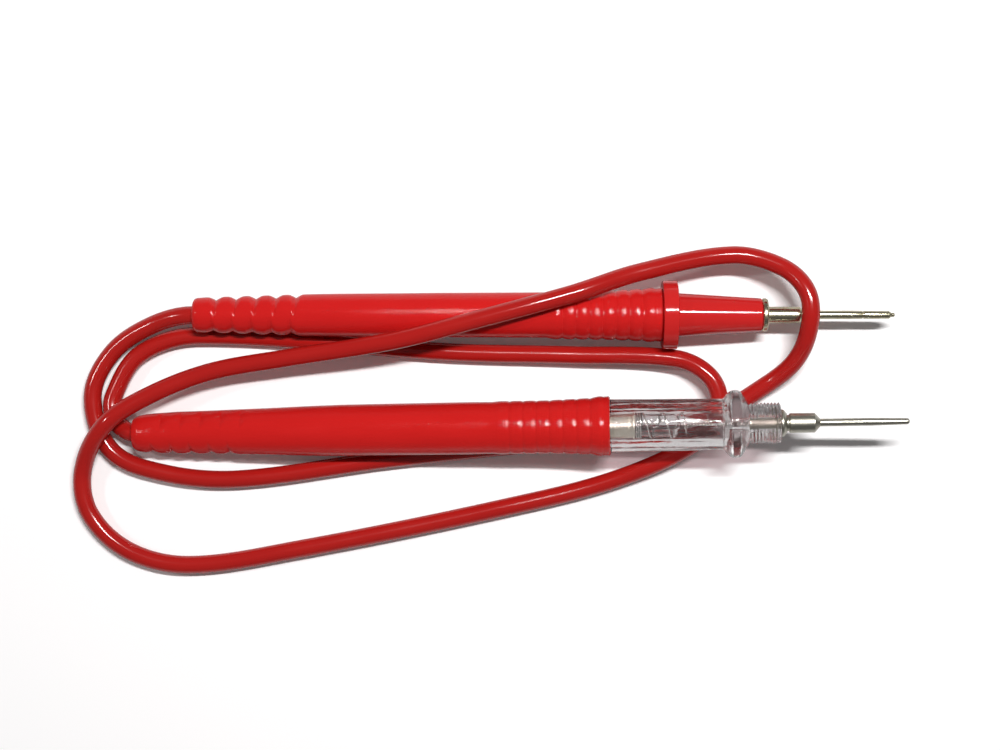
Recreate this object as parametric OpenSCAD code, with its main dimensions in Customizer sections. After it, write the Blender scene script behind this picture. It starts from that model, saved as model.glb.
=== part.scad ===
// Two-probe continuity tester: a lamp probe and a plain return probe on one red lead.
// Each probe is drawn along +X with its rear end at x = 0, and is then laid in its place.

/* [Lead] */
// Outside diameter of the jacketed lead
lead_d = 4.3; // [3.9:0.1:4.3]
// Diameter of the insulated wire under the jacket
wire_d = 2.2; // [1.8:0.1:2.6]
// Diameter of the bare strands at each joint
strand_d = 1.1; // [0.8:0.1:1.3]
// How far the jacket runs into each grip
jacket_in = 10; // [6:1:12]
// Gap round the lead in its hole
lead_gap = 0.15; // [0.1:0.05:0.3]

/* [Grips] */
// Number of finger grooves on each side
groove_count = 5; // [3:1:6]
// Distance from one finger groove to the next
groove_pitch = 4.65; // [4:0.05:5]
// Depth of the slim grip's finger grooves
groove_depth = 0.95; // [0.5:0.05:1]
// Depth of the thick grip's finger grooves
thick_groove_depth = 0.55; // [0.3:0.05:0.7]
// Depth of the short dents on the thick grip's other side
dent_depth = 0.4; // [0.2:0.05:0.5]
// Number of ring ribs behind the mouth
rib_count = 8; // [5:1:9]
// Distance from one ring rib to the next
rib_pitch = 3.15; // [2.9:0.05:3.3]
// Height of a ring rib
rib_h = 0.2; // [0.1:0.05:0.4]
// Diameter of the hollow that the wire runs through
hollow_d = 5.2; // [4.4:0.1:5.4]

/* [Return probe] */
// Length of the slim grip
return_grip_len = 111.6; // [108:0.2:116]
// Diameter of the round guard
guard_d = 16.4; // [15:0.2:18]
// Thickness of the round guard
guard_w = 3.6; // [3:0.1:4.5]
// Diameter of the cone behind the metal collar
cone_front_d = 7.9; // [7:0.1:9]
// Diameter of the cone at the guard
cone_back_d = 10.4; // [9.4:0.1:11]
// Length of the cone
cone_len = 20.1; // [17:0.1:24]
// How far the nose plugs into the slim grip
return_spigot_len = 10; // [7:0.5:13]
// Diameter of the nose's plug
return_spigot_d = 8.4; // [7.4:0.1:8.8]
// Diameter of the turned tip inside the nose
return_shank_d = 3.6; // [3.2:0.1:4.2]
// Diameter of the return pin
return_pin_d = 2; // [1.6:0.1:2.2]
// Length of the return pin
return_pin_len = 21.4; // [18:0.2:26]

/* [Lamp probe] */
// Length of the thick grip
tester_grip_len = 114; // [112:0.2:119]
// Diameter of the clear nose at the grip
nose_d = 12.6; // [12:0.1:13]
// Diameter of the clear nose at its guard bead
nose_front_d = 12; // [11.8:0.1:13]
// Length of the clear nose from the grip to its guard
nose_len = 26.5; // [25.4:0.1:30]
// How far the clear nose plugs into the grip
nose_spigot_len = 5; // [3:0.5:6]
// Diameter of the clear guard bead
bead_d = 15.9; // [15:0.1:17.5]
// Width of the clear guard bead
bead_w = 5.5; // [5:0.1:6.4]
// Diameter over the screw thread at the front
thread_d = 9.8; // [9.2:0.1:10.6]
// Pitch of that thread
thread_pitch = 0.8; // [0.7:0.05:1]
// Number of turns of that thread
thread_turns = 9; // [7:1:10]
// Diameter of the tip's barrel
barrel_d = 4.6; // [4:0.1:5.4]
// Length of the tip's barrel
barrel_len = 5.9; // [5:0.1:8]
// Diameter of the test pin
pin_d = 1.8; // [1.4:0.1:2]
// Length of the test pin
pin_len = 20.6; // [17:0.2:26]
// Diameter of the tip's shank in the clear nose
shank_d = 2.9; // [2.5:0.1:3.2]
// Gap round what plugs or slides in
fit = 0.1; // [0.05:0.01:0.15]

/* [Cell and lamp] */
// Diameter of the dry cell
cell_d = 10.5; // [10:0.1:10.6]
// Length of the dry cell with its stud
cell_len = 44.5; // [43:0.1:45]
// Length of the cell's spring
cell_spring_len = 9.2; // [7:0.1:10]
// Diameter of the lamp's cap
cap_d = 5; // [4.6:0.1:5.2]
// Length of the lamp's cap
cap_len = 8.2; // [6.5:0.1:8.6]
// Diameter of the lamp's glass
glass_d = 4.6; // [4:0.1:4.7]
// Length of glass in front of the cap
glass_len = 10.9; // [9:0.1:11]
// Wire thickness of the lamp's spring
spring_wire = 0.4; // [0.3:0.05:0.5]

/* [How they lie] */
// Height of the slim grip's rear end, where it rests on the lead
return_rear_z = 7.2; // [7.2:0.1:7.8]
// How far the slim grip's rear lies ahead of the thick one's
return_ahead = 14.6; // [14:0.1:18]
// The slim probe's distance from the middle line
return_y = 12.8; // [12.6:0.1:13.2]
// The thick probe's distance from the middle line
tester_y = 13.9; // [13.6:0.1:14.4]
// The thick probe's turn across the table, in degrees
tester_turn = 1.05; // [0.8:0.05:1.2]
// The thick probe's rise over the crossed lead, in degrees
tester_rise = 4.45; // [4.4:0.05:4.8]

/* [Hidden] */
round_fn = 96;
e = 0.01;

// Radius of each grip along its length, as [distance from the rear end, radius]
slim_grip = [
    [0, 3.4], [0.3, 3.85], [0.9, 4.1], [4, 4.3], [15, 4.65], [25, 4.95], [35, 5.1], [60, 5.3],
    [return_grip_len - 31.6, 5.4], [return_grip_len - 23.6, 5.45], [return_grip_len - 13.6, 5.6],
    [return_grip_len - 7.6, 5.8], [return_grip_len - 3.6, 6.05], [return_grip_len, 6.4]
];
thick_grip = [
    [0, 3.7], [0.5, 4.05], [1.4, 4.35], [2.8, 4.6], [5, 4.8], [10.6, 5.1], [18.6, 5.25],
    [32.6, 5.6], [41.6, 5.9], [50.6, 6.1], [tester_grip_len - 33, 6.2], [tester_grip_len - 25.4, 6.1],
    [tester_grip_len - 15.4, 6.1], [tester_grip_len - 9.4, 6.3], [tester_grip_len - 4.4, 6.5],
    [tester_grip_len - 2.6, 6.85], [tester_grip_len, 7.05]
];
slim_groove_start = 5.4;
slim_groove_stagger = 0.7;
thick_groove_start = 4.7;
thick_dent_start = 7.1;
groove_share = 0.94;
rib_end_gap = 1.6;

lead_r = lead_d / 2;
hole_r = lead_r + lead_gap;
hole_len = 14;
bell_len = 6;
bend_in = 4.5;
bell_r = hole_r + 1.2;

// Stations along the return probe
cone_front = return_grip_len + guard_w + cone_len;
nose_back = return_grip_len - return_spigot_len;
collar_w = 1.4;
return_barrel_len = 7.5;
return_barrel_d = 3.9;
taper_len = 1.3;
return_pin_start = cone_front + collar_w + return_barrel_len + taper_len;
return_tip_end = return_pin_start + return_pin_len;
cup_back = nose_back + 2.5;
cup_depth = 5;
solder_len = 1.2;
return_wire_end = cup_back - 2;

// Stations along the lamp probe
mouth = tester_grip_len;
nose_spigot_back = mouth - nose_spigot_len;
bead_mid = mouth + nose_len + bead_w / 2;
thread_start = bead_mid + bead_w / 2 + 0.3;
nose_front = thread_start + thread_turns * thread_pitch + 0.2;
rim_w = 1.5;
neck_w = 0.5;
pin_start = nose_front + rim_w + neck_w + barrel_len + taper_len;
tip_end = pin_start + pin_len;

// Stations of the cell and the lamp, counted back from the clear nose's plug
cell_stud_len = 0.85;
cell_stud_r = 1.9;
cell_front = nose_spigot_back - 0.1;
cell_back = cell_front + cell_stud_len - cell_len;
cell_r = cell_d / 2;
cell_bore_r = cell_r + fit;
contact_w = 0.6;
contact_back = cell_back - cell_spring_len - contact_w;
lug_len = 3.2;
lug_r = 1.15;
tester_wire_end = contact_back - lug_len - 2;
lamp_tail = cell_front + cell_stud_len + 0.05;
contact_len = 1.05;
insulator_len = 0.7;
cap_back = lamp_tail + contact_len + insulator_len;
cap_front = cap_back + cap_len;
cap_r = cap_d / 2;
cap_flange_r = cap_r + 0.4;
cap_flange_w = 0.5;
holder_wall = 0.35;
holder_bore_r = cap_r + fit;
holder_r = holder_bore_r + holder_wall;
holder_back = cap_back - 0.4;
holder_front = mouth - 0.1;
glass_r = glass_d / 2;
glass_wall = 0.3;
glass_stem = cap_front - 0.6;
glass_front = cap_front + glass_len;
lamp_wire_r = 0.12;
lamp_wire_gap = 0.7;
lamp_wire_len = 5.6;
lamp_wire_end = glass_stem + lamp_wire_len;

// Outline of the guard bead, as [share of its width from its crest, drop below its crest]
bead_shape = [
    [-0.5, 1.9], [-0.38, 1.2], [-0.25, 0.5], [-0.11, 0.1], [0, 0], [0.11, 0.15], [0.22, 0.7],
    [0.33, 1.4], [0.44, 2.2], [0.54, 3]
];

// Clear nose bores
chamber_r = 3.5;
flute_count = 8;
flute_r = 0.5;
chamber_front = bead_mid - 0.4;
shank_r = shank_d / 2;
shank_hole_r = shank_r + 0.05;
spring_tail_r = 0.5;
spring_guide_r = spring_tail_r + spring_wire / 2 + 0.2;
shank_back = bead_mid + 1.2;

// Places on the table
guard_r = guard_d / 2;
guard_mid = return_grip_len + guard_w / 2;
return_sink = asin((guard_r - return_rear_z) / guard_mid);
tester_reach = tip_end * cos(tester_rise);
tester_rear_z = 4.46;
tester_rear = [-tester_reach / 2, -tester_y - tester_reach / 2 * sin(tester_turn), tester_rear_z];
return_rear = [-tester_reach / 2 + return_ahead, return_y, return_rear_z];

// Directions of the two axes, pointing to the tips
return_way = [cos(return_sink), 0, sin(return_sink)];
tester_way = [
    cos(tester_rise) * cos(tester_turn), cos(tester_rise) * sin(tester_turn), sin(tester_rise)
];

// The free lead's route between the two grips, from the slim grip to the thick one
route = [
    [-87.7, 10.3, 4.6], [-97.5, 3.6, 2.5], [-102.1, -7, 2.2], [-97.5, -19.8, 2.2],
    [-84.7, -25.2, 2.2], [-66.7, -26.6, 2.2], [-30.7, -21.8, 2.2], [20.3, -16.2, 2.2],
    [45.8, -12, 2.3], [59.9, -4.1, 3.6], [66.8, 2.3, 7.8], [69.3, 11, 12.8],
    [68.4, 18.5, 12.8], [62.8, 24.2, 10.3], [51.3, 27, 8.8], [29.3, 22.8, 12],
    [12.8, 17.4, 15.6], [-8.7, 11.6, 15.6], [-28.7, 6.6, 12.8], [-55.1, 2.4, 9],
    [-73, -0.8, 7.7], [-87.5, -6.4, 7.8], [-97.7, -13.2, 8.5], [-104.2, -24.4, 3.2],
    [-102.7, -35, 2.3], [-93.2, -44, 2.2], [-78.7, -47.3, 2.2], [-52.2, -43.5, 2.2],
    [-3.7, -33.7, 2.2], [25.3, -26.2, 2.7], [44.8, -16.2, 6.4], [48.5, -8, 6.8],
    [46, -1.5, 6.6], [38.3, 2.4, 5.2], [14, 3.3, 3.3], [-15.7, 4, 2.3],
    [-76.2, 8, 2.2], [-90.5, 3.6, 2.2], [-96.9, -6.4, 2.3], [-96.7, -11.9, 3],
    [-92.7, -15.2, 4.3]
];
lead_sides = 10;
ring_step = 11;
lead_points = concat(
    [return_rear + jacket_in * return_way, return_rear],
    route,
    [tester_rear + bend_in * tester_way, tester_rear + jacket_in * tester_way]
);

// Shared shapes

function unit(v) = v / norm(v);

// A body turned about the X axis from [radius, x] points
module turned(points) {
    rotate([0, 90, 0]) rotate_extrude($fn = round_fn) polygon(points);
}

// A straight round rod along the X axis
module rod(from, to, r) {
    translate([from, 0, 0]) rotate([0, 90, 0]) cylinder(h = to - from, r = r, $fn = 48);
}

// A cone along the X axis
module taper(from, to, r_from, r_to) {
    translate([from, 0, 0]) rotate([0, 90, 0])
        cylinder(h = to - from, r1 = r_from, r2 = r_to, $fn = 48);
}

// A tube of constant thickness along a list of points, as one closed skin
module swept(points, r, sides, upright) {
    last = len(points) - 1;
    ways = [for (i = [0 : last]) unit(points[min(i + 1, last)] - points[max(i - 1, 0)])];
    sideways = [for (w = ways) unit(cross(w, upright))];
    skin = [
        for (i = [0 : last], k = [0 : sides - 1])
            let (a = 360 * k / sides)
            points[i] + r * (cos(a) * sideways[i] + sin(a) * cross(sideways[i], ways[i]))
    ];
    walls = [
        for (i = [0 : last - 1], k = [0 : sides - 1])
            let (n = (k + 1) % sides, here = i * sides, next = here + sides)
            each [[here + k, here + n, next + n], [here + k, next + n, next + k]]
    ];
    ends = [
        [for (k = [sides - 1 : -1 : 0]) k],
        [for (k = [0 : sides - 1]) last * sides + k]
    ];
    polyhedron(points = skin, faces = concat(walls, ends), convexity = 10);
}

module lay_return() {
    translate(return_rear) rotate([0, -return_sink, 0]) children();
}

module lay_tester() {
    translate(tester_rear) rotate([0, -tester_rise, tester_turn]) children();
}

// Where the ring ribs start behind a grip's mouth
function ribs_start(stations) =
    stations[len(stations) - 1][0] - rib_end_gap - rib_count * rib_pitch;

// Outline of a grip as [radius, x] points, with its ring ribs as low flat arches
function grip_outline(stations) =
    let (
        start = ribs_start(stations),
        stop = start + rib_count * rib_pitch,
        arch = 0.94 * rib_pitch
    )
    concat(
        [for (p = stations) if (p[0] < start - 0.2) [p[1], p[0]]],
        [
            for (i = [0 : rib_count - 1], k = [0 : 7])
                let (u = k / 7, x = start + i * rib_pitch + arch * u)
                [lookup(x, stations) + rib_h * (1 - pow(2 * u - 1, 4)), x]
        ],
        [for (p = stations) if (p[0] > stop + 0.2) [p[1], p[0]]]
    );

// Outside of a grip, turned from its outline
module grip_body(stations) {
    length = stations[len(stations) - 1][0];
    turned(concat([[0, 0]], grip_outline(stations), [[0, length]]));
}

// One row of finger grooves with round lumps between them, on the side that faces the angle
// middle. Each cutter is set off the axis, so that the groove runs out at the angle run_out.
module groove_row(stations, start, depth, middle, run_out) {
    off = depth / (1 - cos(run_out));
    half_sweep = run_out + 3;
    w = groove_share * groove_pitch;
    for (i = [0 : groove_count - 1]) {
        at = start + i * groove_pitch;
        floor_r = lookup(at, stations) - depth + off;
        translate([at, -off * cos(middle), -off * sin(middle)]) rotate([0, 90, 0])
            rotate([0, 0, middle + 90 - half_sweep])
            rotate_extrude(angle = 2 * half_sweep, $fn = 48)
            polygon(concat(
                [for (k = [-5 : 5]) [floor_r + 1.06 * depth * abs(sin(18 * k)), w * k / 10]],
                [[floor_r + depth + 1, w / 2], [floor_r + depth + 1, -w / 2]]
            ));
    }
}

// Return probe

module return_handle() {
    color([0.82, 0.16, 0.16]) lay_return() difference() {
        grip_body(slim_grip);
        groove_row(slim_grip, slim_groove_start, groove_depth, 0, 75);
        groove_row(slim_grip, slim_groove_start - slim_groove_stagger, groove_depth, 180, 75);
        rod(-1, hole_len + e, hole_r);
        rod(hole_len, nose_back + e, hollow_d / 2);
        rod(nose_back, return_grip_len + 1, return_spigot_d / 2 + fit);
    }
}

module return_nose() {
    bevel = 0.5;
    color([0.8, 0.19, 0.2]) lay_return() difference() {
        turned([
            [0, nose_back], [return_spigot_d / 2, nose_back],
            [return_spigot_d / 2, return_grip_len], [guard_r - bevel, return_grip_len],
            [guard_r, return_grip_len + bevel], [guard_r, return_grip_len + guard_w - bevel],
            [guard_r - bevel, return_grip_len + guard_w],
            [cone_back_d / 2, return_grip_len + guard_w], [cone_front_d / 2, cone_front],
            [0, cone_front]
        ]);
        rod(nose_back - 1, cone_front + 1, return_shank_d / 2 + 0.05);
    }
}

module return_tip() {
    collar_r = cone_front_d / 2;
    barrel_r = return_barrel_d / 2;
    pin_r = return_pin_d / 2;
    nick_back = return_pin_start + 0.64 * return_pin_len;
    straight_end = return_pin_start + 0.5 * return_pin_len;
    color([0.62, 0.6, 0.5]) lay_return() difference() {
        turned([
            [0, cup_back], [return_shank_d / 2, cup_back], [return_shank_d / 2, cone_front],
            [collar_r - 0.35, cone_front], [collar_r, cone_front + 0.35],
            [collar_r, cone_front + collar_w - 0.35], [collar_r - 0.35, cone_front + collar_w],
            [barrel_r, cone_front + collar_w],
            [barrel_r, cone_front + collar_w + return_barrel_len],
            [pin_r, return_pin_start], [pin_r, straight_end],
            [0.96 * pin_r, nick_back], [0.8 * pin_r, nick_back + 0.1],
            [0.8 * pin_r, nick_back + 0.3], [0.96 * pin_r, nick_back + 0.4],
            [0.93 * pin_r, return_tip_end - 1.3], [0.5 * pin_r, return_tip_end - 0.8],
            [0.5 * pin_r, return_tip_end - 0.15], [0.35 * pin_r, return_tip_end],
            [0, return_tip_end]
        ]);
        rod(cup_back - 1, cup_back + cup_depth, strand_d / 2 + 0.05);
    }
}

module return_wire() {
    color([0.75, 0.15, 0.14]) lay_return() rod(jacket_in, return_wire_end, wire_d / 2);
}

module return_strands() {
    color([0.75, 0.45, 0.25]) lay_return()
        rod(return_wire_end, cup_back + cup_depth - 0.5, strand_d / 2);
}

module return_solder() {
    color([0.75, 0.76, 0.78]) lay_return() difference() {
        taper(cup_back - solder_len, cup_back, strand_d / 2 + 0.15, return_shank_d / 2 - 0.3);
        rod(cup_back - solder_len - 1, cup_back + 1, strand_d / 2);
    }
}

// Lamp probe

module tester_handle() {
    color([0.8, 0.16, 0.15]) lay_tester() difference() {
        grip_body(thick_grip);
        groove_row(thick_grip, thick_dent_start, dent_depth, 47, 24);
        groove_row(thick_grip, thick_groove_start, thick_groove_depth, 180, 65);
        rod(-1, hole_len + e, hole_r);
        taper(-e, bell_len, bell_r, hole_r - e);
        rod(hole_len, contact_back + e, hollow_d / 2);
        rod(contact_back, mouth + 1, cell_bore_r);
    }
}

module clear_nose() {
    spigot_r = cell_bore_r - fit;
    core_r = thread_d / 2 - 0.4;
    color([0.86, 0.9, 0.9, 0.4]) lay_tester() difference() {
        turned(concat(
            [
                [0, nose_spigot_back], [spigot_r, nose_spigot_back], [spigot_r, mouth],
                [nose_d / 2, mouth], [nose_front_d / 2, mouth + nose_len - 0.3]
            ],
            [for (p = bead_shape) [bead_d / 2 - p[1], bead_mid + p[0] * bead_w]],
            [[core_r, thread_start]],
            [
                for (i = [0 : thread_turns - 1], p = [[0.35, 0.4], [0.65, 0.4], [1, 0]])
                    [core_r + p[1], thread_start + (i + p[0]) * thread_pitch]
            ],
            [[core_r, nose_front], [0, nose_front]]
        ));
        rod(nose_spigot_back - 1, holder_front + e, holder_r + 0.05);
        rod(holder_front, chamber_front, chamber_r);
        for (i = [0 : flute_count - 1]) {
            rotate([360 * i / flute_count, 0, 0]) translate([0, chamber_r, 0])
                rod(holder_front, chamber_front - 0.5, flute_r);
        }
        rod(chamber_front - e, shank_back + e, spring_guide_r);
        rod(shank_back, nose_front + 1, shank_hole_r);
    }
}

module tester_tip() {
    rim_r = 3.2;
    barrel_r = barrel_d / 2;
    pin_r = pin_d / 2;
    barrel_back = nose_front + rim_w + neck_w;
    color([0.62, 0.61, 0.55]) lay_tester() turned([
        [0, shank_back], [shank_r - 0.2, shank_back], [shank_r, shank_back + 0.2],
        [shank_r, nose_front], [rim_r - 0.25, nose_front], [rim_r, nose_front + 0.25],
        [rim_r, nose_front + 0.6], [rim_r - 0.2, nose_front + 0.9],
        [barrel_r - 0.1, nose_front + rim_w], [barrel_r - 0.4, nose_front + rim_w],
        [barrel_r - 0.4, barrel_back],
        [barrel_r - 0.2, barrel_back], [barrel_r, barrel_back + 0.2],
        [barrel_r, barrel_back + barrel_len], [pin_r, pin_start],
        [pin_r, pin_start + 0.6 * pin_len], [0.82 * pin_r, tip_end - 0.6],
        [0.68 * pin_r, tip_end - 0.25], [0.4 * pin_r, tip_end - 0.05], [0, tip_end]
    ]);
}

module lamp_holder() {
    color([0.78, 0.76, 0.66]) lay_tester() difference() {
        rod(holder_back, holder_front, holder_r);
        rod(holder_back - 1, holder_front + 1, holder_bore_r);
    }
}

module lamp_cap() {
    thread = 0.12;
    groove_at = [for (g = [1.4 : 0.8 : 7.2]) g];
    color([0.8, 0.78, 0.7]) lay_tester() difference() {
        turned(concat(
            [[0, cap_back], [cap_r - 0.3, cap_back], [cap_r, cap_back + 0.3]],
            [
                for (g = groove_at, p = [[-0.3, 0], [0, thread], [0.3, 0]])
                    [cap_r - p[1], cap_back + g + p[0]]
            ],
            [
                [cap_r, cap_front - cap_flange_w], [cap_flange_r, cap_front - cap_flange_w],
                [cap_flange_r, cap_front], [0, cap_front]
            ]
        ));
        rod(cap_back + 0.3, cap_front + 1, glass_r);
        rod(cap_back - 1, cap_front, 1.2);
    }
}

module lamp_insulator() {
    color([0.12, 0.1, 0.12]) lay_tester() difference() {
        union() {
            taper(cap_back - insulator_len, cap_back, 1.5, cap_r - 0.4);
            rod(cap_back - e, cap_back + 0.3, 1.2);
        }
        rod(cap_back - insulator_len - 1, cap_back + 1, 0.3);
    }
}

module lamp_contact() {
    tail = cap_back - insulator_len;
    color([0.72, 0.73, 0.75]) lay_tester() {
        turned([
            [0, lamp_tail], [0.5, lamp_tail], [0.85, lamp_tail + 0.3], [0.95, tail - 0.15],
            [0.95, tail], [0.3, tail], [0.3, cap_back + 0.3], [0, cap_back + 0.3]
        ]);
    }
}

module lamp_glass() {
    dome = glass_r;
    neck_back = cap_back + 0.8;
    color([0.9, 0.93, 0.95, 0.35]) lay_tester() difference() {
        union() {
            rod(neck_back, glass_front - dome, glass_r);
            translate([glass_front - dome, 0, 0]) sphere(r = dome, $fn = 48);
        }
        rod(glass_stem, glass_front - dome, glass_r - glass_wall);
        translate([glass_front - dome, 0, 0]) sphere(r = dome - glass_wall, $fn = 48);
    }
}

module lamp_wires() {
    color([0.7, 0.68, 0.62]) lay_tester() for (side = [-1, 1])
        translate([0, side * lamp_wire_gap, 0]) rod(glass_stem, lamp_wire_end, lamp_wire_r);
}

module lamp_bead() {
    color([0.55, 0.75, 0.8, 0.7]) lay_tester() difference() {
        translate([glass_stem + 0.55 * lamp_wire_len, 0, 0]) rotate([90, 0, 0])
            translate([0, 0, -lamp_wire_gap - 0.4])
            cylinder(h = 2 * lamp_wire_gap + 0.8, r = 0.45, $fn = 32);
        for (side = [-1, 1])
            translate([0, side * lamp_wire_gap, 0])
                rod(glass_stem, lamp_wire_end, lamp_wire_r);
    }
}

module lamp_filament() {
    coil_r = 0.09;
    color([0.35, 0.35, 0.38]) lay_tester() translate([lamp_wire_end, 0, 0])
        rotate([0, 0, -90]) rotate_extrude(angle = 180, $fn = 48)
        translate([lamp_wire_gap, 0]) circle(r = coil_r, $fn = 16);
}

module lamp_spring() {
    wire_r = spring_wire / 2;
    wide_r = glass_r + wire_r + 0.2;
    start = cap_front + wire_r + 0.02;
    close_turns = 3;
    open_turns = 2;
    cone_turns = 1;
    tail_turns = 16;
    close_end = start + close_turns * spring_wire * 1.15;
    open_end = glass_front + 0.3;
    cone_end = open_end + 1.6;
    tail_end = shank_back - wire_r - 0.02;
    keys_x = [
        [0, start], [close_turns, close_end], [close_turns + open_turns, open_end],
        [close_turns + open_turns + cone_turns, cone_end],
        [close_turns + open_turns + cone_turns + tail_turns, tail_end]
    ];
    keys_r = [
        [0, wide_r], [close_turns + open_turns, wide_r],
        [close_turns + open_turns + cone_turns, spring_tail_r],
        [close_turns + open_turns + cone_turns + tail_turns, spring_tail_r]
    ];
    turns = keys_x[4][0];
    steps = 12;
    color([0.75, 0.75, 0.76]) lay_tester() swept(
        [
            for (i = [0 : turns * steps])
                let (t = i / steps, r = lookup(t, keys_r))
                [lookup(t, keys_x), r * cos(360 * t), r * sin(360 * t)]
        ],
        wire_r, 6, [1, 0, 0]
    );
}

module battery_cell() {
    rim = 0.5;
    color([0.25, 0.28, 0.32]) lay_tester() turned([
        [0, cell_back], [cell_r - rim - 0.4, cell_back], [cell_r - rim, cell_back + 0.25],
        [cell_r, cell_back + 0.6], [cell_r, cell_front - 1.3], [cell_r - 0.25, cell_front - 1],
        [cell_r, cell_front - 0.7], [cell_r - 0.2, cell_front - 0.1],
        [cell_r - 0.6, cell_front], [cell_stud_r, cell_front],
        [cell_stud_r - 0.2, cell_front + cell_stud_len], [0, cell_front + cell_stud_len]
    ]);
}

module battery_spring() {
    wire_r = 0.35;
    turns = 4;
    steps = 16;
    from = contact_back + contact_w + wire_r + 0.02;
    to = cell_back - wire_r - 0.02;
    wide_r = cell_r - wire_r - 0.5;
    narrow_r = 2.2;
    color([0.72, 0.72, 0.7]) lay_tester() swept(
        [
            for (i = [0 : turns * steps])
                let (t = i / (turns * steps), r = wide_r + (narrow_r - wide_r) * t)
                [from + (to - from) * t, r * cos(360 * turns * t), r * sin(360 * turns * t)]
        ],
        wire_r, 6, [1, 0, 0]
    );
}

module rear_contact() {
    color([0.78, 0.62, 0.32]) lay_tester() difference() {
        union() {
            rod(contact_back, contact_back + contact_w, cell_r);
            rod(contact_back - lug_len, contact_back + e, lug_r);
        }
        rod(contact_back - lug_len - 1, contact_back + contact_w + 1, strand_d / 2 + 0.05);
    }
}

module tester_wire() {
    color([0.75, 0.15, 0.14]) lay_tester() rod(jacket_in, tester_wire_end, wire_d / 2);
}

module tester_strands() {
    color([0.75, 0.45, 0.25]) lay_tester()
        rod(tester_wire_end, contact_back + contact_w - 0.1, strand_d / 2);
}

module tester_solder() {
    front = contact_back - lug_len;
    color([0.75, 0.76, 0.78]) lay_tester() difference() {
        taper(front - solder_len, front, strand_d / 2 + 0.15, lug_r);
        rod(front - solder_len - 1, front + 1, strand_d / 2);
    }
}

// Lead

// The lead's way at a point: straight in the grips, and else between the two neighbours
function way_at(i) =
    i < 2 ? -return_way
    : i > len(lead_points) - 3 ? tester_way
    : unit(lead_points[i + 1] - lead_points[i - 1]);

function along(i, t) =
    let (
        a = lead_points[i],
        b = lead_points[i + 1],
        third = norm(b - a) / 3,
        c = a + way_at(i) * third,
        d = b - way_at(i + 1) * third,
        s = 1 - t
    )
    s * s * s * a + 3 * s * s * t * c + 3 * s * t * t * d + t * t * t * b;

module lead() {
    last = len(lead_points) - 1;
    color([0.68, 0.13, 0.12]) swept(
        concat(
            [
                for (i = [0 : last - 1])
                    let (
                        span = norm(lead_points[i + 1] - lead_points[i]),
                        parts = max(1, round(span / ring_step))
                    )
                    for (k = [0 : parts - 1]) along(i, k / parts)
            ],
            [lead_points[last]]
        ),
        lead_r, lead_sides, [0, 0, 1]
    );
}

return_handle();
return_nose();
return_tip();
return_wire();
return_strands();
return_solder();
tester_handle();
clear_nose();
tester_tip();
lamp_holder();
lamp_cap();
lamp_insulator();
lamp_contact();
lamp_glass();
lamp_wires();
lamp_bead();
lamp_filament();
lamp_spring();
battery_cell();
battery_spring();
rear_contact();
tester_wire();
tester_strands();
tester_solder();
lead();
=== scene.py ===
# Two-probe continuity tester: a lamp probe and a plain return probe on one red lead.
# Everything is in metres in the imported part's frame: +X along the probes, +Z up from the table.
import math

import bpy
from mathutils import Matrix, Vector


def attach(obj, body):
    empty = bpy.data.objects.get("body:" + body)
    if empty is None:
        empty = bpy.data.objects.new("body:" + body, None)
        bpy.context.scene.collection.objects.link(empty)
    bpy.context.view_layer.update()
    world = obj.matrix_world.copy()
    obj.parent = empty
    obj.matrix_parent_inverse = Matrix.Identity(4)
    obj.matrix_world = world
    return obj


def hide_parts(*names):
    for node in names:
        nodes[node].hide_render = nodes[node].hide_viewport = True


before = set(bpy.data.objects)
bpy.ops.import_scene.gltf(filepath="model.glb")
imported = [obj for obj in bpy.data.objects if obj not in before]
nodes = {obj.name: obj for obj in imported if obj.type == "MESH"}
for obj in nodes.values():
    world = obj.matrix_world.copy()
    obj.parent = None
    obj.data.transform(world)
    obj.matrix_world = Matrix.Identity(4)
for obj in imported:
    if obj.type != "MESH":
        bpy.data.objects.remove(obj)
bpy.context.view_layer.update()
mm = 0.001

# Camera
# The tester is seen from straight above, from about 45 cm over the table.
bpy.ops.object.camera_add(location=(-3.8 * mm, -1.5 * mm, 450 * mm), rotation=(0, 0, 0))
camera = bpy.context.object
camera.name = "camera"
camera.data.sensor_width = 36
camera.data.lens = 66.8
bpy.context.scene.camera = camera

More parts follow.
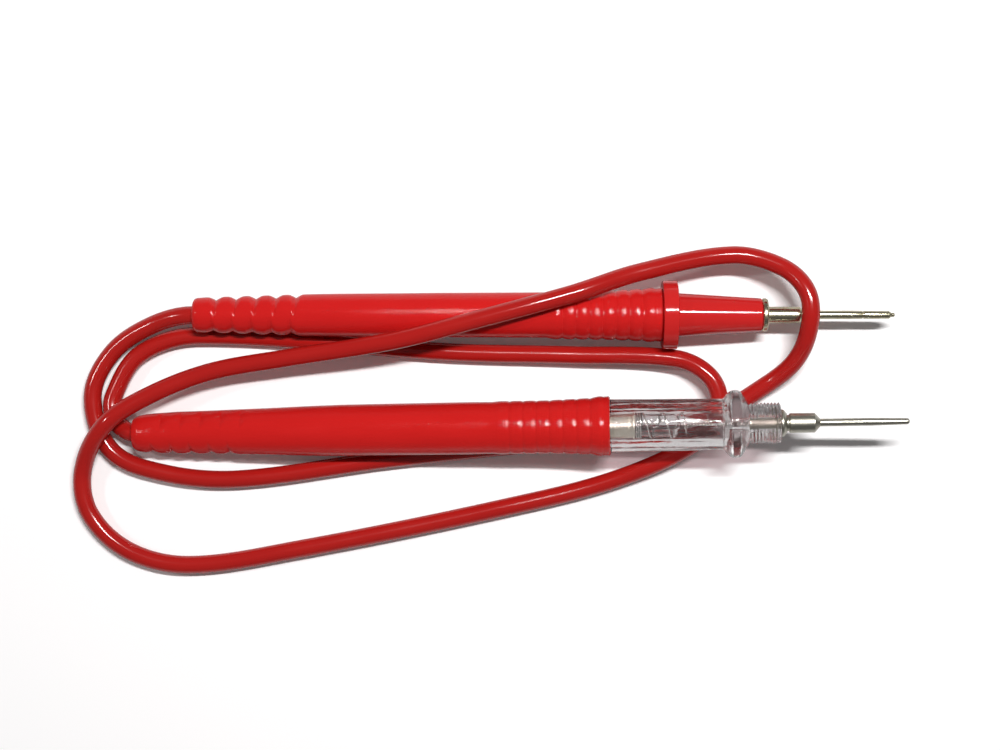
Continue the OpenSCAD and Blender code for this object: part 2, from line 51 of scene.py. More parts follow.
# Lead
# One limp wire in an extruded vinyl jacket, glued into the rear of each grip. It lies in
# loose loops over and under both probes, as it springs back from being wound up. The guard
# lifts the slim probe's front by 1 mm, and the lead under the clear nose lifts the thick one's.
lead_d = 4.3 * mm
in_grip = 10 * mm
guard_middle = 113.4
guard_lift = 1
slim_rear = Vector((-76.873, 12.8, 7.2)) * mm
slim_rise = math.asin(guard_lift / guard_middle)
slim_way = Vector((math.cos(slim_rise), 0, math.sin(slim_rise)))
thick_rear = Vector((-91.473, -15.576, 4.46)) * mm
thick_rise = math.radians(4.45)
thick_turn = math.radians(1.05)
thick_way = Vector((
    math.cos(thick_rise) * math.cos(thick_turn),
    math.cos(thick_rise) * math.sin(thick_turn),
    math.sin(thick_rise),
))
lead_route = [
    (-87.7, 10.3, 4.6), (-97.5, 3.6, 2.5), (-102.1, -7, 2.2), (-97.5, -19.8, 2.2),
    (-84.7, -25.2, 2.2), (-66.7, -26.6, 2.2), (-30.7, -21.8, 2.2), (20.3, -16.2, 2.2),
    (45.8, -12, 2.3), (59.9, -4.1, 3.6), (66.8, 2.3, 7.8), (69.3, 11, 12.8),
    (68.4, 18.5, 12.8), (62.8, 24.2, 10.3), (51.3, 27, 8.8), (29.3, 22.8, 12),
    (12.8, 17.4, 15.6), (-8.7, 11.6, 15.6), (-28.7, 6.6, 12.8), (-55.1, 2.4, 9),
    (-73, -0.8, 7.7), (-87.5, -6.4, 7.8), (-97.7, -13.2, 8.5), (-104.2, -24.4, 3.2),
    (-102.7, -35, 2.3), (-93.2, -44, 2.2), (-78.7, -47.3, 2.2), (-52.2, -43.5, 2.2),
    (-3.7, -33.7, 2.2), (25.3, -26.2, 2.7), (44.8, -16.2, 6.4), (48.5, -8, 6.8),
    (46, -1.5, 6.6), (38.3, 2.4, 5.2), (14, 3.3, 3.3), (-15.7, 4, 2.3),
    (-76.2, 8, 2.2), (-90.5, 3.6, 2.2), (-96.9, -6.4, 2.3), (-96.7, -11.9, 3),
    (-92.7, -15.2, 4.3),
]
lead_points = [slim_rear + in_grip * slim_way, slim_rear]
lead_points += [Vector(point) * mm for point in lead_route]
lead_points += [thick_rear + 4.5 * mm * thick_way, thick_rear + in_grip * thick_way]

bpy.ops.curve.primitive_bezier_curve_add()
lead = bpy.context.object
lead.name = "red_lead"
lead.data.name = "red_lead"
spline = lead.data.splines[0]
spline.bezier_points.add(len(lead_points) - len(spline.bezier_points))
last = len(lead_points) - 1
for i, point in enumerate(lead_points):
    before = lead_points[max(i - 1, 0)]
    after = lead_points[min(i + 1, last)]
    way = (after - before).normalized()
    if i < 2:
        way = -slim_way
    if i > last - 2:
        way = thick_way
    knot = spline.bezier_points[i]
    knot.handle_left_type = "FREE"
    knot.handle_right_type = "FREE"
    knot.co = point
    knot.handle_left = point - way * (point - before).length / 3
    knot.handle_right = point + way * (after - point).length / 3
lead.data.dimensions = "3D"
lead.data.resolution_u = 14
lead.data.render_resolution_u = 14
lead.data.bevel_depth = lead_d / 2
lead.data.bevel_resolution = 8
lead.data.use_fill_caps = True


def shared_group(name, sockets):
    """A node group with its sockets. A socket is its name, direction, kind and first value."""
    group = bpy.data.node_groups.new(name, "ShaderNodeTree")
    for title, direction, kind, value in sockets:
        made = group.interface.new_socket(
            name=title, in_out=direction, socket_type="NodeSocket" + kind
        )
        if value is not None:
            made.default_value = value
    return group, group.nodes.new("NodeGroupInput"), group.nodes.new("NodeGroupOutput")


def grain_group():
    """Tone and height of a moulded or drawn surface, and rings round its X axis."""
    group, start, end = shared_group("surface_grain", (
        ("Vector", "INPUT", "Vector", None),
        ("Coarse", "INPUT", "Float", 120.0),
        ("Fine", "INPUT", "Float", 2200.0),
        ("Pitch", "INPUT", "Float", 13000.0),
        ("Tone", "OUTPUT", "Float", None),
        ("Height", "OUTPUT", "Float", None),
        ("Rings", "OUTPUT", "Float", None),
    ))
    coarse = group.nodes.new("ShaderNodeTexNoise")
    fine = group.nodes.new("ShaderNodeTexNoise")
    split = group.nodes.new("ShaderNodeSeparateXYZ")
    rings = group.nodes.new("ShaderNodeTexNoise")
    rings.noise_dimensions = "1D"
    rings.inputs["Detail"].default_value = 1
    coarse.inputs["Detail"].default_value = 3
    fine.inputs["Detail"].default_value = 2
    mixed = group.nodes.new("ShaderNodeMath")
    mixed.operation = "MULTIPLY_ADD"
    mixed.inputs[1].default_value = 0.25
    group.links.new(start.outputs["Vector"], coarse.inputs["Vector"])
    group.links.new(start.outputs["Vector"], fine.inputs["Vector"])
    group.links.new(start.outputs["Coarse"], coarse.inputs["Scale"])
    group.links.new(start.outputs["Fine"], fine.inputs["Scale"])
    group.links.new(fine.outputs["Fac"], mixed.inputs[0])
    group.links.new(coarse.outputs["Fac"], mixed.inputs[2])
    group.links.new(start.outputs["Vector"], split.inputs["Vector"])
    group.links.new(split.outputs["X"], rings.inputs["W"])
    group.links.new(start.outputs["Pitch"], rings.inputs["Scale"])
    group.links.new(rings.outputs["Fac"], end.inputs["Rings"])
    group.links.new(coarse.outputs["Fac"], end.inputs["Tone"])
    group.links.new(mixed.outputs["Value"], end.inputs["Height"])
    return group


surface_grain = grain_group()


def coordinates(tree, rear, turn, stretch=(1, 1, 1)):
    """A piece's own coordinates, with X along the probe that it belongs to, and stretched."""
    source = tree.nodes.new("ShaderNodeTexCoord")
    placed = tree.nodes.new("ShaderNodeMapping")
    placed.vector_type = "TEXTURE"
    placed.inputs["Location"].default_value = rear
    placed.inputs["Rotation"].default_value = turn
    placed.inputs["Scale"].default_value = stretch
    tree.links.new(source.outputs["Object"], placed.inputs["Vector"])
    return placed.outputs["Vector"]


def moulded(name, dark, light, gloss, shine, uneven, marks, coarse, rear, turn):
    """Coloured plastic whose tone and gloss drift a little over the surface, with faint lines
    along it and the marks that a turned mould leaves round it."""
    material = bpy.data.materials.new(name)
    material.use_nodes = True
    tree = material.node_tree
    shader = tree.nodes["Principled BSDF"]
    place = coordinates(tree, rear, turn, (4, 1, 1))
    grain = tree.nodes.new("ShaderNodeGroup")
    grain.node_tree = surface_grain
    grain.inputs["Coarse"].default_value = coarse
    grain.inputs["Fine"].default_value = 5000
    colour = tree.nodes.new("ShaderNodeMix")
    colour.data_type = "RGBA"
    colour.inputs["A"].default_value = (*dark, 1)
    colour.inputs["B"].default_value = (*light, 1)
    sheen = tree.nodes.new("ShaderNodeMapRange")
    sheen.inputs["From Min"].default_value = 0.3
    sheen.inputs["From Max"].default_value = 0.7
    sheen.inputs["To Min"].default_value = gloss - 0.03
    sheen.inputs["To Max"].default_value = gloss + 0.05
    ringed = tree.nodes.new("ShaderNodeBump")
    ringed.inputs["Strength"].default_value = 1
    ringed.inputs["Distance"].default_value = marks
    bump = tree.nodes.new("ShaderNodeBump")
    bump.inputs["Strength"].default_value = 0.35
    bump.inputs["Distance"].default_value = uneven
    tree.links.new(place, grain.inputs["Vector"])
    tree.links.new(grain.outputs["Tone"], colour.inputs["Factor"])
    tree.links.new(grain.outputs["Tone"], sheen.inputs["Value"])
    tree.links.new(grain.outputs["Rings"], ringed.inputs["Height"])
    tree.links.new(grain.outputs["Height"], bump.inputs["Height"])
    tree.links.new(ringed.outputs["Normal"], bump.inputs["Normal"])
    tree.links.new(colour.outputs["Result"], shader.inputs["Base Color"])
    tree.links.new(sheen.outputs["Result"], shader.inputs["Roughness"])
    tree.links.new(bump.outputs["Normal"], shader.inputs["Normal"])
    shader.inputs["Specular IOR Level"].default_value = shine
    return material


lead_vinyl = moulded(
    "lead_vinyl", (0.38, 0.009, 0.008), (0.45, 0.013, 0.010), gloss=0.14, shine=0.5,
    uneven=0, marks=0, coarse=160, rear=(0, 0, 0), turn=(0, 0, 0),
)
lead.data.materials.append(lead_vinyl)
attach(lead, "root")
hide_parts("lead")

# Slim grip
# Soft vinyl sleeve of the return probe: finger lumps along both sides at the rear, a smooth
# middle, and eight ring ribs on the part that swells towards the guard.
slim_laid = Matrix.Translation(slim_rear) @ Matrix.Rotation(-slim_rise, 4, "Y")
slim_turn = (0, -slim_rise, 0)


def turned(name, outline, steps):
    """A body turned about the X axis from its outline of (distance, radius) in millimetres."""
    bpy.ops.mesh.primitive_plane_add(size=mm)
    piece = bpy.context.object
    piece.name = name
    piece.data.name = name
    bpy.ops.object.mode_set(mode="EDIT")
    bpy.ops.mesh.select_all(action="SELECT")
    bpy.ops.mesh.merge(type="CENTER")
    bpy.ops.transform.translate(value=(outline[0][0] * mm, 0, outline[0][1] * mm))
    for (x0, r0), (x1, r1) in zip(outline, outline[1:]):
        step = ((x1 - x0) * mm, 0, (r1 - r0) * mm)
        bpy.ops.mesh.extrude_region_move(TRANSFORM_OT_translate={"value": step})
    bpy.ops.mesh.select_all(action="SELECT")
    bpy.ops.mesh.spin(steps=steps, angle=2 * math.pi, center=(0, 0, 0), axis=(1, 0, 0))
    bpy.ops.mesh.remove_doubles(threshold=0.002 * mm)
    bpy.ops.mesh.normals_make_consistent(inside=False)
    bpy.ops.object.mode_set(mode="OBJECT")
    return piece


def soften(piece, width, angle=25):
    """Rounds the edges that turn by more than an angle in degrees."""
    bevel = piece.modifiers.new("edge", "BEVEL")
    bevel.width = width
    bevel.segments = 2
    bevel.limit_method = "ANGLE"
    bevel.angle_limit = math.radians(angle)
    bpy.context.view_layer.objects.active = piece
    bpy.ops.object.modifier_apply(modifier=bevel.name)


def lay(piece, laid, material, replaced):
    """Puts a finished piece in its place on the table, in its mesh, with its material, and
    hides the part that it stands for."""
    bpy.ops.object.select_all(action="DESELECT")
    piece.select_set(True)
    bpy.context.view_layer.objects.active = piece
    piece.matrix_world = laid
    bpy.ops.object.transform_apply(location=True, rotation=True, scale=True)
    bpy.ops.object.shade_smooth_by_angle(angle=math.radians(40))
    even = piece.modifiers.new("even", "WEIGHTED_NORMAL")
    even.keep_sharp = True
    bpy.ops.object.modifier_apply(modifier=even.name)
    piece.data.materials.clear()
    piece.data.materials.append(material)
    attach(piece, "root")
    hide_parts(replaced)


def radius_at(stations, x):
    """Radius of a grip at a distance, on straight lines between its stations."""
    for (x0, r0), (x1, r1) in zip(stations, stations[1:]):
        if x <= x1:
            return r0 + (r1 - r0) * (x - x0) / (x1 - x0)
    return stations[-1][1]


def grip_outline(stations, bores, rib_start, rib_pitch, rib_count, rib_h, full, groove_end):
    """Outside of a grip from its rear to its mouth, and back through its bores. Its points are
    close at the grooves and the ribs. A higher power full makes the ribs fuller."""
    rounded_rear = 2.0
    chamfer = 0.3
    groove_step = 0.2
    plain_step = 1.5
    rib_step = rib_pitch / 14
    length, mouth_r = stations[-1]
    outline = [point for point in stations if point[0] < rounded_rear]
    x = rounded_rear
    while x < length - 0.4:
        u = (x - rib_start) / rib_pitch
        rise = 0
        if 0 <= u <= rib_count:
            rise = rib_h * (1 - abs(2 * (u % 1) - 1) ** full)
        outline.append((x, radius_at(stations, x) + rise))
        if x < groove_end:
            x += groove_step
        elif x > rib_start - 0.5:
            x += rib_step
        else:
            x += plain_step
    outline += [(length - chamfer, mouth_r), (length, mouth_r - chamfer)]
    outline += bores
    outline.append(outline[0])
    return outline


def press_grooves(piece, rows):
    """Presses rows of finger grooves into a grip, with round lumps between them. Each groove is
    a round cut set off the axis, so that it runs out to both sides. A row is its first groove,
    pitch, count, depth, middle angle and the angle at which it runs out."""
    soft = 0.06
    lump_up = 1.06
    bores_r = 3.6
    grooves_end = 32
    for vertex in piece.data.vertices:
        x = vertex.co.x / mm
        r = math.hypot(vertex.co.y, vertex.co.z) / mm
        if r < bores_r or x > grooves_end:
            continue
        angle = math.atan2(vertex.co.z, vertex.co.y)
        sink = 0
        for first, pitch, count, depth, middle, run_out in rows:
            u = (x - first) / pitch
            if u < -0.5 or u > count - 0.5:
                continue
            turn = angle - math.radians(middle)
            off = depth / (1 - math.cos(math.radians(run_out)))
            floor_r = r - depth + lump_up * depth * abs(math.sin(math.pi * u)) + off
            cut = math.sqrt(max(floor_r ** 2 - (off * math.sin(turn)) ** 2, 0))
            raw = r - cut + off * math.cos(turn)
            sink = max(sink, (raw + math.sqrt(raw * raw + soft * soft)) / 2)
        vertex.co.y *= (r - sink) / r
        vertex.co.z *= (r - sink) / r


slim_stations = [
    (0, 3.4), (0.3, 3.85), (0.9, 4.1), (4, 4.3), (15, 4.65), (25, 4.95), (35, 5.1), (60, 5.3),
    (80, 5.4), (88, 5.45), (98, 5.6), (104, 5.8), (108, 6.05), (111.6, 6.4),
]
slim_bores = [
    (111.6, 4.3), (101.6, 4.3), (101.6, 2.6), (14, 2.6), (14, 2.3), (0, 2.3),
]
slim_outline = grip_outline(
    slim_stations, slim_bores, rib_start=84.8, rib_pitch=3.15, rib_count=8, rib_h=0.33,
    full=2.2, groove_end=30,
)
slim_grip = turned("slim_grip", slim_outline, 180)
press_grooves(slim_grip, [
    (5.4, 4.77, 5, 0.85, 0, 97),
    (4.7, 4.67, 5, 0.6, 180, 82),
])
grip_vinyl = moulded(
    "slim_grip_vinyl", (0.55, 0.011, 0.011), (0.61, 0.014, 0.013), gloss=0.1, shine=0.3,
    uneven=0.4 * mm, marks=0.015 * mm, coarse=300, rear=slim_rear, turn=slim_turn,
)
lay(slim_grip, slim_laid, grip_vinyl, "return_handle")

# Return nose
# Hard glossy moulding, plugged into the grip, with a round guard that keeps the fingers off
# the pin.
slim_nose = turned("return_probe_nose", [
    (101.6, 1.85), (101.6, 4.2), (111.6, 4.2), (111.6, 8.2), (115.2, 8.2), (115.2, 5.2),
    (135.3, 3.95), (135.3, 1.85), (101.6, 1.85),
], 96)
soften(slim_nose, 0.35 * mm)
nose_gloss = moulded(
    "nose_gloss", (0.54, 0.015, 0.015), (0.59, 0.018, 0.017), gloss=0.07, shine=0.5,
    uneven=0.02 * mm, marks=0.002 * mm, coarse=90, rear=slim_rear, turn=slim_turn,
)
lay(slim_nose, slim_laid, nose_gloss, "return_nose")

# Return tip
# One turned brass piece, thinly plated: collar, barrel, taper and test pin. The plating has
# gone yellow where it is handled.


def rings_group():
    """Fine rings and cloudy stains of turned and plated metal."""
    group, start, end = shared_group("turning_marks", (
        ("Vector", "INPUT", "Vector", None),
        ("Pitch", "INPUT", "Float", 9000.0),
        ("Rings", "OUTPUT", "Float", None),
        ("Stain", "OUTPUT", "Float", None),
    ))
    split = group.nodes.new("ShaderNodeSeparateXYZ")
    rings = group.nodes.new("ShaderNodeTexNoise")
    rings.noise_dimensions = "1D"
    rings.inputs["Detail"].default_value = 2
    stain = group.nodes.new("ShaderNodeTexNoise")
    stain.inputs["Scale"].default_value = 450
    stain.inputs["Detail"].default_value = 5
    group.links.new(start.outputs["Vector"], split.inputs["Vector"])
    group.links.new(split.outputs["X"], rings.inputs["W"])
    group.links.new(start.outputs["Pitch"], rings.inputs["Scale"])
    group.links.new(start.outputs["Vector"], stain.inputs["Vector"])
    group.links.new(rings.outputs["Fac"], end.inputs["Rings"])
    group.links.new(stain.outputs["Fac"], end.inputs["Stain"])
    return group


turning_marks = rings_group()


def turned_metal(name, bright, stained, gloss, rear, turn):
    """Machined metal with fine rings from the lathe and cloudy stains in its plating."""
    material = bpy.data.materials.new(name)
    material.use_nodes = True
    tree = material.node_tree
    shader = tree.nodes["Principled BSDF"]
    place = coordinates(tree, rear, turn)
    marks = tree.nodes.new("ShaderNodeGroup")
    marks.node_tree = turning_marks
    spread = tree.nodes.new("ShaderNodeMapRange")
    spread.inputs["From Min"].default_value = 0.35
    spread.inputs["From Max"].default_value = 0.75
    colour = tree.nodes.new("ShaderNodeMix")
    colour.data_type = "RGBA"
    colour.inputs["A"].default_value = (*bright, 1)
    colour.inputs["B"].default_value = (*stained, 1)
    rough = tree.nodes.new("ShaderNodeMapRange")
    rough.inputs["To Min"].default_value = gloss
    rough.inputs["To Max"].default_value = gloss + 0.1
    bump = tree.nodes.new("ShaderNodeBump")
    bump.inputs["Strength"].default_value = 0.2
    bump.inputs["Distance"].default_value = 0.002 * mm
    tree.links.new(place, marks.inputs["Vector"])
    tree.links.new(marks.outputs["Stain"], spread.inputs["Value"])
    tree.links.new(spread.outputs["Result"], colour.inputs["Factor"])
    tree.links.new(spread.outputs["Result"], rough.inputs["Value"])
    tree.links.new(marks.outputs["Rings"], bump.inputs["Height"])
    tree.links.new(colour.outputs["Result"], shader.inputs["Base Color"])
    tree.links.new(rough.outputs["Result"], shader.inputs["Roughness"])
    tree.links.new(bump.outputs["Normal"], shader.inputs["Normal"])
    shader.inputs["Metallic"].default_value = 1
    return material


slim_tip = turned("return_probe_tip", [
    (104.1, 0), (104.1, 1.8), (135.3, 1.8), (135.3, 3.6), (135.65, 3.95), (136.35, 3.95),
    (136.7, 3.6), (136.7, 1.95), (144.2, 1.95), (145.5, 1.0), (156.2, 1.0), (159.2, 0.96),
    (159.3, 0.8), (159.5, 0.8), (159.6, 0.96), (165.6, 0.93), (166.1, 0.5), (166.75, 0.5),
    (166.9, 0.35), (166.9, 0),
], 72)
soften(slim_tip, 0.06 * mm)
olive_plate = turned_metal(
    "worn_plate", (0.64, 0.60, 0.44), (0.50, 0.445, 0.28), gloss=0.22,
    rear=slim_rear, turn=slim_turn,
)
lay(slim_tip, slim_laid, olive_plate, "return_tip")

# Thick grip
# The same soft vinyl over the cell's tube, with shallower finger hollows and eight ring ribs.
thick_laid = (
    Matrix.Translation(thick_rear)
    @ Matrix.Rotation(thick_turn, 4, "Z")
    @ Matrix.Rotation(-thick_rise, 4, "Y")
)
thick_angles = thick_laid.to_euler("XYZ")
thick_turned = (thick_angles.x, thick_angles.y, thick_angles.z)
thick_stations = [
    (0, 3.7), (0.5, 4.05), (1.4, 4.35), (2.8, 4.6), (5, 4.8), (10.6, 5.1), (18.6, 5.25),
    (32.6, 5.6), (41.6, 5.9), (50.6, 6.1), (81, 6.2), (88.6, 6.1), (98.6, 6.1), (104.6, 6.3),
    (109.6, 6.5), (111.4, 6.85), (114, 7.05),
]
thick_bores = [
    (114, 5.35), (55.45, 5.35), (55.45, 2.6), (14, 2.6), (14, 2.3), (6, 2.3), (0, 3.5),
]
thick_outline = grip_outline(
    thick_stations, thick_bores, rib_start=87.2, rib_pitch=3.15, rib_count=8, rib_h=0.2,
    full=4, groove_end=32,
)
thick_grip = turned("thick_grip", thick_outline, 180)
press_grooves(thick_grip, [
    (7.1, 4.84, 5, 0.4, 47, 24),
    (4.7, 4.67, 5, 0.55, 180, 65),
])
thick_vinyl = moulded(
    "thick_grip_vinyl", (0.54, 0.011, 0.010), (0.60, 0.014, 0.013), gloss=0.1, shine=0.3,
    uneven=0.45 * mm, marks=0.02 * mm, coarse=300, rear=thick_rear, turn=thick_turned,
)
lay(thick_grip, thick_laid, thick_vinyl, "tester_handle")

# Clear nose
# One clear moulding that holds the lamp: plug, fluted chamber, round guard bead, and a screw
# thread at the front behind the metal rim.
bead_line = [
    (140.2, 6.0), (140.55, 6.15), (141.1, 6.8), (141.7, 7.45), (142.4, 7.85), (143.25, 7.95),
    (144.0, 7.85), (144.6, 7.45), (145.15, 6.75), (145.7, 5.8), (146.2, 4.9), (146.4, 4.5),
]


def eased(line, parts):
    """A smooth curve through a line of points, in some parts between each two."""
    smooth = []
    for i in range(len(line) - 1):
        p0, p1, p2, p3 = (line[min(max(i + k, 0), len(line) - 1)] for k in (-1, 0, 1, 2))
        for step in range(parts):
            t = step / parts
            smooth.append(tuple(
                0.5 * (2 * b + (c - a) * t + (2 * a - 5 * b + 4 * c - d) * t * t
                       + (3 * b - a - 3 * c + d) * t ** 3)
                for a, b, c, d in zip(p0, p1, p2, p3)
            ))
    return smooth + [line[-1]]


thread_from = 146.45
thread_to = 153.65
thread_zero = 146.5
thread_r = 4.5
thread_h = 0.42
thread_pitch = 0.8
thread_half = 0.42
chamber_r = 3.5
flutes = 8
flute_h = 0.14
clear_outline = [(109, 3.0), (109, 5.25), (114, 5.25), (114, 6.2), (114.1, 6.3)]
clear_outline += eased(bead_line, 4)
clear_outline += [(thread_zero + 0.1 * k, thread_r) for k in range(72)]
clear_outline += [
    (153.7, 4.4), (153.7, 1.5), (144.45, 1.5), (144.45, 0.9), (142.85, 0.9),
    (142.85, chamber_r), (113.9, chamber_r), (113.9, 3.0), (109, 3.0),
]
clear_nose = turned("clear_nose_moulding", clear_outline, 160)
for vertex in clear_nose.data.vertices:
    x = vertex.co.x / mm
    r = math.hypot(vertex.co.y, vertex.co.z) / mm
    angle = math.atan2(vertex.co.z, vertex.co.y)
    grown = r
    if abs(r - thread_r) < 0.1 and thread_from < x < thread_to:
        phase = ((x - thread_zero) / thread_pitch - angle / (2 * math.pi)) % 1
        fade = min(1, (x - thread_from) / 0.5, (thread_to - x) / 0.3)
        grown += thread_h * fade * max(0, 1 - abs(phase - 0.5) / thread_half)
    if abs(r - chamber_r) < 0.05 and 113.8 < x < 142.9:
        grown += flute_h * (1 + math.cos(flutes * angle + 0.6 * math.sin(x / 3.1)))
    if grown > r:
        vertex.co.y *= grown / r
        vertex.co.z *= grown / r


def clear_material(name, tint, gloss, haze_more, wavy, index, rear, turn):
    """Clear moulded plastic or blown glass with long shallow waves. Shadow rays and scattered
    light go straight through it."""
    material = bpy.data.materials.new(name)
    material.use_nodes = True
    tree = material.node_tree
    shader = tree.nodes["Principled BSDF"]
    place = coordinates(tree, rear, turn, (7, 1, 1))
    grain = tree.nodes.new("ShaderNodeGroup")
    grain.node_tree = surface_grain
    grain.inputs["Coarse"].default_value = 700
    haze = tree.nodes.new("ShaderNodeMapRange")
    haze.inputs["From Min"].default_value = 0.45
    haze.inputs["From Max"].default_value = 0.75
    haze.inputs["To Min"].default_value = gloss
    haze.inputs["To Max"].default_value = gloss + haze_more
    bump = tree.nodes.new("ShaderNodeBump")
    bump.inputs["Strength"].default_value = 1
    bump.inputs["Distance"].default_value = wavy
    tree.links.new(place, grain.inputs["Vector"])
    tree.links.new(grain.outputs["Tone"], haze.inputs["Value"])
    tree.links.new(haze.outputs["Result"], shader.inputs["Roughness"])
    tree.links.new(grain.outputs["Height"], bump.inputs["Height"])
    tree.links.new(bump.outputs["Normal"], shader.inputs["Normal"])
    shader.inputs["Base Color"].default_value = (*tint, 1)
    shader.inputs["Transmission Weight"].default_value = 1
    shader.inputs["IOR"].default_value = index
    through = tree.nodes.new("ShaderNodeBsdfTransparent")
    through.inputs["Color"].default_value = (0.60, 0.53, 0.54, 1)
    path = tree.nodes.new("ShaderNodeLightPath")
    unseen = tree.nodes.new("ShaderNodeMath")
    unseen.operation = "ADD"
    choice = tree.nodes.new("ShaderNodeMixShader")
    output = tree.nodes["Material Output"]
    tree.links.new(path.outputs["Is Shadow Ray"], unseen.inputs[0])
    tree.links.new(path.outputs["Is Diffuse Ray"], unseen.inputs[1])
    tree.links.new(unseen.outputs["Value"], choice.inputs["Fac"])
    tree.links.new(shader.outputs["BSDF"], choice.inputs[1])
    tree.links.new(through.outputs["BSDF"], choice.inputs[2])
    tree.links.new(choice.outputs["Shader"], output.inputs["Surface"])
    return material


clear_plastic = clear_material(
    "clear_plastic", (0.90, 0.875, 0.875), gloss=0.03, haze_more=0.1, wavy=0.12 * mm,
    index=1.49, rear=thick_rear, turn=thick_turned,
)
lay(clear_nose, thick_laid, clear_plastic, "clear_nose")

# Lamp
# A small flashlight lamp in a sleeve: plated screw cap, glass bulb, two support wires with a
# glass bead, and a fine filament. The cap's rim carries the coil spring.
dome_x = 128.35
bulb_r = 2.3
bulb_bore = 2.0
bulb_outline = [(112.35, 1.9), (112.35, bulb_r)]
bulb_outline += [(x, bulb_r) for x in (116.6, 120.6, 124.6, dome_x)]
for r, angles in ((bulb_r, range(10, 91, 10)), (bulb_bore, range(90, -1, -10))):
    for angle in angles:
        bulb_outline.append((
            dome_x + r * math.sin(math.radians(angle)), r * math.cos(math.radians(angle))
        ))
bulb_outline += [(x, bulb_bore) for x in (124.6, 120.6, 119.15)]
bulb_outline += [(119.15, 1.9), (112.35, 1.9)]
bulb = turned("lamp_bulb", bulb_outline, 64)
lamp_glass = clear_material(
    "lamp_glass", (0.98, 0.99, 0.99), gloss=0, haze_more=0.02, wavy=0.01 * mm,
    index=1.5, rear=thick_rear, turn=thick_turned,
)
lay(bulb, thick_laid, lamp_glass, "lamp_glass")

cap_r = 2.5
cap_outline = [(111.55, 1.2), (111.55, 2.2), (111.85, cap_r)]
for ring in range(8):
    x = 112.65 + 0.8 * ring
    cap_outline += [(x, cap_r), (x + 0.3, cap_r - 0.07), (x + 0.6, cap_r)]
cap_outline += [
    (119.25, cap_r), (119.25, 2.9), (119.75, 2.9), (119.75, 2.3), (111.85, 2.3),
    (111.85, 1.2), (111.55, 1.2),
]
lamp_cap = turned("lamp_cap_shell", cap_outline, 72)
soften(lamp_cap, 0.05 * mm, 35)
cap_plate = turned_metal(
    "cap_plate", (0.92, 0.90, 0.80), (0.82, 0.78, 0.64), gloss=0.32,
    rear=thick_rear, turn=thick_turned,
)
lay(lamp_cap, thick_laid, cap_plate, "lamp_cap")

# Coil spring
# Drawn spring wire that grips the lamp's rim, opens over the bulb and closes to a thin tail
# on the tip's shank.
spring_keys = [
    (0, 119.97, 2.7), (3, 121.35, 2.7), (5, 130.95, 2.7), (6, 132.55, 0.5), (22, 144.23, 0.5),
]


def coil(name, keys, wire_r, steps):
    """A coil of round wire through keys of (turns, distance, radius) in millimetres, with some
    steps to the turn."""
    data = bpy.data.curves.new(name, "CURVE")
    data.dimensions = "3D"
    data.bevel_depth = wire_r * mm
    data.bevel_resolution = 3
    data.use_fill_caps = True
    path = data.splines.new("POLY")
    total = int(keys[-1][0] * steps)
    path.points.add(total)
    for i in range(total + 1):
        t = i / steps
        for (t0, x0, r0), (t1, x1, r1) in zip(keys, keys[1:]):
            if t <= t1:
                u = (t - t0) / (t1 - t0)
                x, r = x0 + (x1 - x0) * u, r0 + (r1 - r0) * u
                break
        angle = 2 * math.pi * t
        path.points[i].co = (x * mm, r * mm * math.cos(angle), r * mm * math.sin(angle), 1)
    piece = bpy.data.objects.new(name, data)
    bpy.context.scene.collection.objects.link(piece)
    bpy.ops.object.select_all(action="DESELECT")
    piece.select_set(True)
    bpy.context.view_layer.objects.active = piece
    bpy.ops.object.convert(target="MESH")
    return bpy.context.object


lamp_spring = coil("lamp_coil_spring", spring_keys, wire_r=0.2, steps=32)
spring_steel = turned_metal(
    "spring_steel", (0.80, 0.79, 0.77), (0.64, 0.62, 0.59), gloss=0.24,
    rear=thick_rear, turn=thick_turned,
)
lay(lamp_spring, thick_laid, spring_steel, "lamp_spring")

# Lamp probe tip
# Turned and nickel plated: a rim that screws on to the clear thread, a short neck, the barrel,
# its taper and the test pin.
thick_tip = turned("lamp_probe_tip", [
    (144.45, 0), (144.45, 1.25), (144.65, 1.45), (153.7, 1.45), (153.7, 2.95), (153.95, 3.2),
    (154.3, 3.2), (154.6, 3.0), (155.2, 2.2), (155.2, 1.9), (155.7, 1.9), (155.7, 2.1),
    (155.9, 2.3), (161.6, 2.3), (162.9, 0.9), (175.26, 0.9), (182.9, 0.74), (183.25, 0.61),
    (183.45, 0.36), (183.5, 0),
], 72)
soften(thick_tip, 0.05 * mm)
nickel = turned_metal(
    "nickel_plate", (0.54, 0.525, 0.455), (0.43, 0.405, 0.335), gloss=0.3,
    rear=thick_rear, turn=thick_turned,
)
lay(thick_tip, thick_laid, nickel, "tester_tip")

# Inside the probes
# What the grips hide keeps its plain solid: the dry cell with its spring and contact, the wires,
# their bare strands and the solder joints. Each has its own finish.
brass = turned_metal(
    "stamped_brass", (0.80, 0.60, 0.28), (0.62, 0.44, 0.18), gloss=0.25,
    rear=thick_rear, turn=thick_turned,
)
copper = turned_metal(
    "copper_strands", (0.86, 0.44, 0.26), (0.60, 0.28, 0.16), gloss=0.3,
    rear=thick_rear, turn=thick_turned,
)
tin = turned_metal(
    "solder_tin", (0.74, 0.75, 0.77), (0.60, 0.61, 0.63), gloss=0.2,
    rear=thick_rear, turn=thick_turned,
)
sleeve = moulded(
    "cell_sleeve", (0.032, 0.042, 0.066), (0.044, 0.056, 0.085), gloss=0.25, shine=0.5,
    uneven=0.01 * mm, marks=0, coarse=200, rear=thick_rear, turn=thick_turned,
)
fired_glass = moulded(
    "fired_glass", (0.004, 0.003, 0.004), (0.008, 0.006, 0.007), gloss=0.1, shine=0.5,
    uneven=0.01 * mm, marks=0, coarse=900, rear=thick_rear, turn=thick_turned,
)
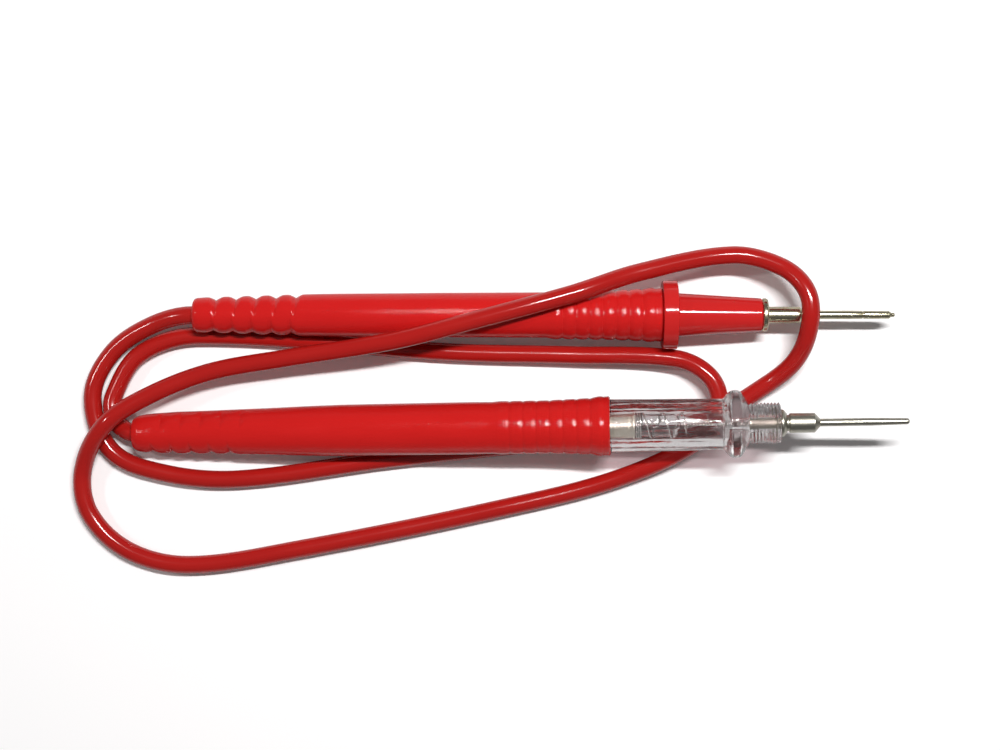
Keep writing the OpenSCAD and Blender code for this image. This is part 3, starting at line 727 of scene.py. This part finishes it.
for name, finish in (
    ("return_strands", copper), ("tester_strands", copper), ("return_solder", tin),
    ("tester_solder", tin), ("lamp_contact", tin), ("rear_contact", brass),
    ("battery_spring", spring_steel), ("lamp_holder", cap_plate), ("lamp_wires", spring_steel),
    ("lamp_filament", spring_steel), ("return_wire", lead_vinyl), ("tester_wire", lead_vinyl),
    ("lamp_bead", lamp_glass), ("battery_cell", sleeve), ("lamp_insulator", fired_glass),
):
    nodes[name].data.materials.clear()
    nodes[name].data.materials.append(finish)

# Table and light
# A white table under a long lamp above it to the back and the right, a weaker one on the left,
# and a dim room. The camera sees the table a little whiter, and metal and glass see it grey.
bpy.ops.mesh.primitive_plane_add(size=3, location=(0, 0, -0.02 * mm))
table = bpy.context.object
table.name = "table"
white = bpy.data.materials.new("white_table")
white.use_nodes = True
tree = white.node_tree
shader = tree.nodes["Principled BSDF"]
shader.inputs["Roughness"].default_value = 0.8
shader.inputs["Specular IOR Level"].default_value = 0
shader.inputs["Emission Color"].default_value = (1, 1, 1, 1)
path = tree.nodes.new("ShaderNodeLightPath")
indirect = tree.nodes.new("ShaderNodeMath")
indirect.operation = "ADD"
tone = tree.nodes.new("ShaderNodeMix")
tone.data_type = "RGBA"
tone.inputs["A"].default_value = (0.9, 0.9, 0.9, 1)
tone.inputs["B"].default_value = (0.62, 0.62, 0.62, 1)
seen = tree.nodes.new("ShaderNodeMix")
seen.data_type = "RGBA"
seen.inputs["B"].default_value = (1, 0.985, 0.985, 1)
glow = tree.nodes.new("ShaderNodeMath")
glow.operation = "MULTIPLY"
glow.inputs[1].default_value = 0.04
tree.links.new(path.outputs["Is Glossy Ray"], indirect.inputs[0])
tree.links.new(path.outputs["Is Transmission Ray"], indirect.inputs[1])
tree.links.new(indirect.outputs["Value"], tone.inputs["Factor"])
tree.links.new(path.outputs["Is Camera Ray"], seen.inputs["Factor"])
tree.links.new(tone.outputs["Result"], seen.inputs["A"])
tree.links.new(seen.outputs["Result"], shader.inputs["Base Color"])
tree.links.new(path.outputs["Is Camera Ray"], glow.inputs[0])
tree.links.new(glow.outputs["Value"], shader.inputs["Emission Strength"])
table.data.materials.append(white)

for name, place, size, power, turn in (
    ("lamp_right", (0.12, 0.20, 0.70), (0.26, 0.03), 5.35, (-0.28, 0, 0)),
    ("lamp_left", (-0.68, 0.16, 0.70), (0.08, 0.06), 1.15, (-0.16, -0.76, 0)),
):
    bpy.ops.object.light_add(type="AREA", location=place)
    lamp = bpy.context.object
    lamp.name = name
    lamp.data.shape = "RECTANGLE"
    lamp.data.size = size[0]
    lamp.data.size_y = size[1]
    lamp.data.energy = power
    lamp.rotation_euler = turn

world = bpy.data.worlds.new("room")
bpy.context.scene.world = world
world.use_nodes = True
tree = world.node_tree
background = tree.nodes["Background"]
background.inputs["Color"].default_value = (1, 1, 1, 1)
where = tree.nodes.new("ShaderNodeTexCoord")
split = tree.nodes.new("ShaderNodeSeparateXYZ")
height = tree.nodes.new("ShaderNodeMapRange")
height.interpolation_type = "SMOOTHSTEP"
height.inputs["From Min"].default_value = 0.08
height.inputs["From Max"].default_value = 0.45
height.inputs["To Min"].default_value = 0.19
height.inputs["To Max"].default_value = 0.105
tree.links.new(where.outputs["Generated"], split.inputs["Vector"])
tree.links.new(split.outputs["Z"], height.inputs["Value"])
path = tree.nodes.new("ShaderNodeLightPath")
through = tree.nodes.new("ShaderNodeMath")
through.operation = "MULTIPLY_ADD"
through.inputs[1].default_value = 0.32
tree.links.new(path.outputs["Is Transmission Ray"], through.inputs[0])
tree.links.new(height.outputs["Result"], through.inputs[2])
tree.links.new(through.outputs["Value"], background.inputs["Strength"])
bpy.context.scene.view_settings.view_transform = "Standard"
